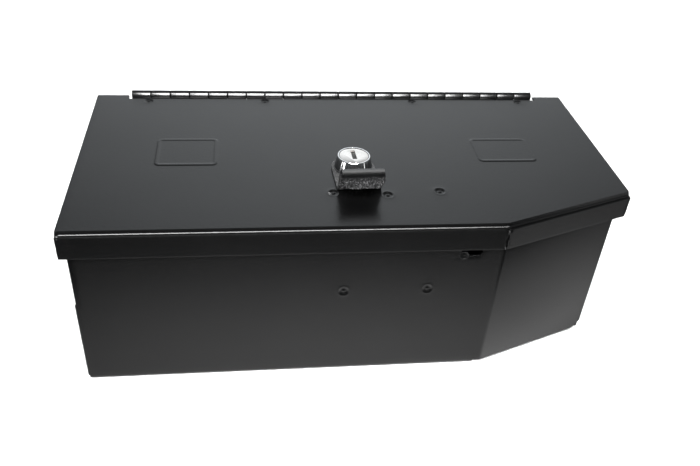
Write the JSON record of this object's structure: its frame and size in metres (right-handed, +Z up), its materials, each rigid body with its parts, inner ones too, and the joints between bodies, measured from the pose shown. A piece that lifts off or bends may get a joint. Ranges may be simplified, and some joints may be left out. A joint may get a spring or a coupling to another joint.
{
  "type": "lockable steel box",
  "caption": "Black sheet-steel security box with a cut corner, a folded lid on a continuous rear hinge, a finger pull and a cam lock.",
  "frame": {"origin": "bottom centre of the whole part's bounding box, on the underside of the floor", "axes": "+Z up; +X to the right along the hinge, which is the longest extent; the front wall faces -Y and the hinge is at +Y"},
  "size_m": [0.324, 0.1606, 0.1252],
  "materials": {
    "powder_coat": "black semi-gloss powder coat with a fine orange-peel texture",
    "lock_chrome": "polished chrome on the head, brushed on the plug face",
    "zinc_plate": "bright zinc plate",
    "plain_steel": "plain drawn steel, slightly dull",
    "wafer_brass": "stamped brass"
  },
  "bodies": {
    "box": {"body_shell": "powder_coat", "left_end_panel": "powder_coat", "right_end_panel": "powder_coat", "strike_bracket": "powder_coat", "hinge_body_leaf": "powder_coat", "hinge_pin": "plain_steel"},
    "lid": {"lid_panel": "powder_coat", "hinge_lid_leaf": "powder_coat", "lock_doubler": "powder_coat", "finger_pull": "powder_coat", "lock_housing": "lock_chrome", "lock_nut": "zinc_plate", "nut_lock_washer": "zinc_plate"},
    "lock_core": {"lock_plug": "lock_chrome", "shutter_spring": "plain_steel", "tumbler_wafers": "wafer_brass", "wafer_springs": "plain_steel", "stop_washer": "zinc_plate", "latch_cam": "zinc_plate", "cam_washer": "zinc_plate", "cam_screw": "zinc_plate"},
    "shutter": {"key_shutter": "plain_steel"}
  },
  "joints": [
    {"name": "lid_hinge", "type": "hinge", "parent": "box", "child": "lid", "pos_m": [0, 0.07758, 0.1085], "axis": [-1, 0, 0], "range_deg": [0, 220]},
    {"name": "lock_turn", "type": "hinge", "parent": "lid", "child": "lock_core", "pos_m": [-0.0016, -0.0197, 0.1085], "axis": [0, 0, -1], "range_deg": [0, 90]},
    {"name": "shutter_flap", "type": "hinge", "parent": "lock_core", "child": "shutter", "pos_m": [0.00015, -0.01963, 0.1162], "axis": [0.0419, -0.9991, 0], "range_deg": [0, 78], "stiffness_Nm_per_rad": 0.0002, "springref_deg": -28.65}
  ]
}
